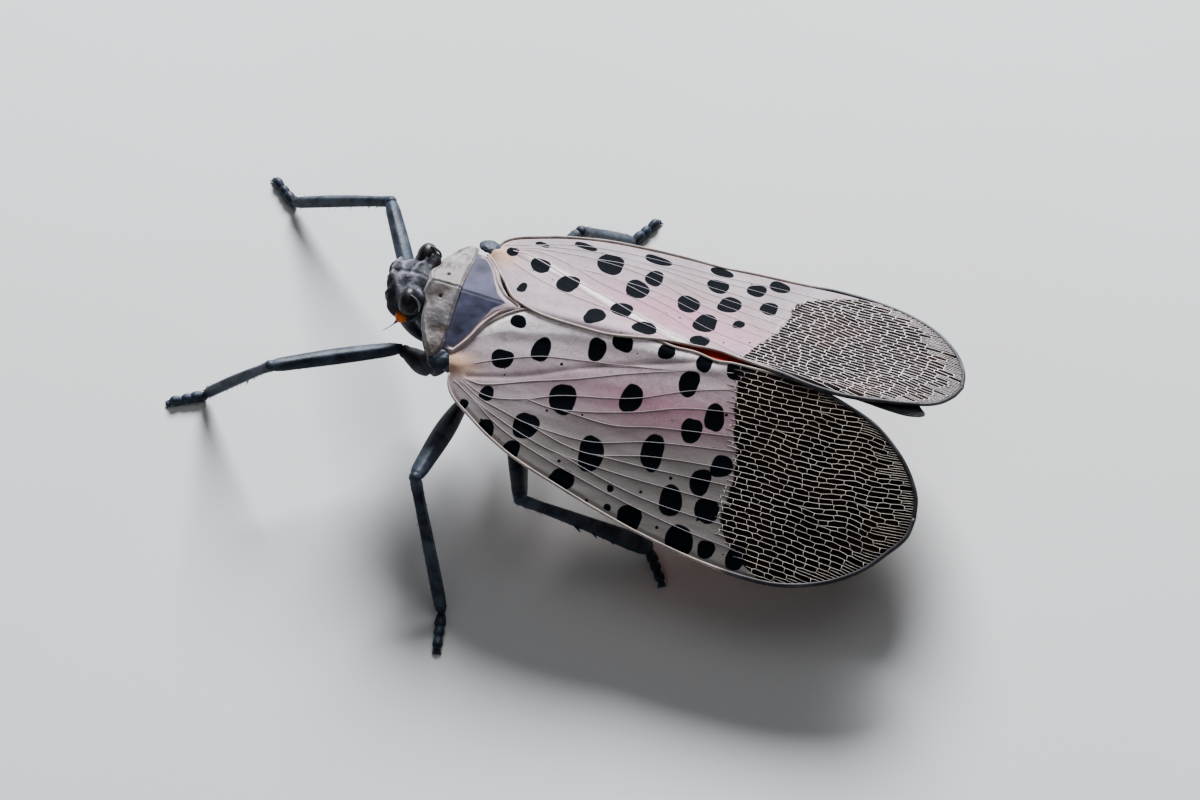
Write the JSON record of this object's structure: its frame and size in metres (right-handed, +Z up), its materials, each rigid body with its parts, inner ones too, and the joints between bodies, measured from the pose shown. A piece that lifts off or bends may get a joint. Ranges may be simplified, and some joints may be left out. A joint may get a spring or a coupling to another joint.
{
  "type": "spotted lanternfly",
  "caption": "Life-size still model of a spotted lanternfly at rest, with spotted roof-like wings folded over its body and six legs standing on the floor.",
  "frame": {"origin": "centre of the bounding box at floor level, under the insect", "axes": "+X points to the tail, the insect's left side is towards -Y, +Z is up"},
  "size_m": [0.0336, 0.0258, 0.0085],
  "materials": {
    "head": "black-brown wrinkled cuticle with a grey crown",
    "eye": "glossy dark brown compound eye",
    "antenna": "satin orange bulb with a dark bristle",
    "pronotum": "grey-beige pitted cuticle",
    "mesonotum": "purple-grey cuticle with a pale rim",
    "thorax": "dark waxy cuticle",
    "tegula": "blue-grey cuticle",
    "abdomen": "yellow with black bands",
    "forewing": "pinkish grey leathery membrane with black spots and a netted dark tip",
    "hindwing": "red membrane with black spots, white band and dark tip",
    "leg": "blue-black cuticle with fine hairs"
  },
  "bodies": {
    "root": {"head": "head", "eye_left": "eye", "antenna_left": "antenna", "eye_right": "eye", "antenna_right": "antenna", "beak": "head", "pronotum": "pronotum", "mesonotum": "mesonotum", "thorax": "thorax", "tegula_left": "tegula", "tegula_right": "tegula", "abdomen": "abdomen", "forewing_left": "forewing", "hindwing_left": "hindwing", "forewing_right": "forewing", "hindwing_right": "hindwing", "left_fore_coxa": "leg", "left_fore_femur": "leg", "left_fore_tibia": "leg", "left_fore_tarsus": "leg", "right_fore_coxa": "leg", "right_fore_femur": "leg", "right_fore_tibia": "leg", "right_fore_tarsus": "leg", "left_middle_coxa": "leg", "left_middle_femur": "leg", "left_middle_tibia": "leg", "left_middle_tarsus": "leg", "right_middle_coxa": "leg", "right_middle_femur": "leg", "right_middle_tibia": "leg", "right_middle_tarsus": "leg", "left_hind_coxa": "leg", "left_hind_femur": "leg", "left_hind_tibia": "leg", "left_hind_tarsus": "leg", "right_hind_coxa": "leg", "right_hind_femur": "leg", "right_hind_tibia": "leg", "right_hind_tarsus": "leg"}
  },
  "joints": []
}
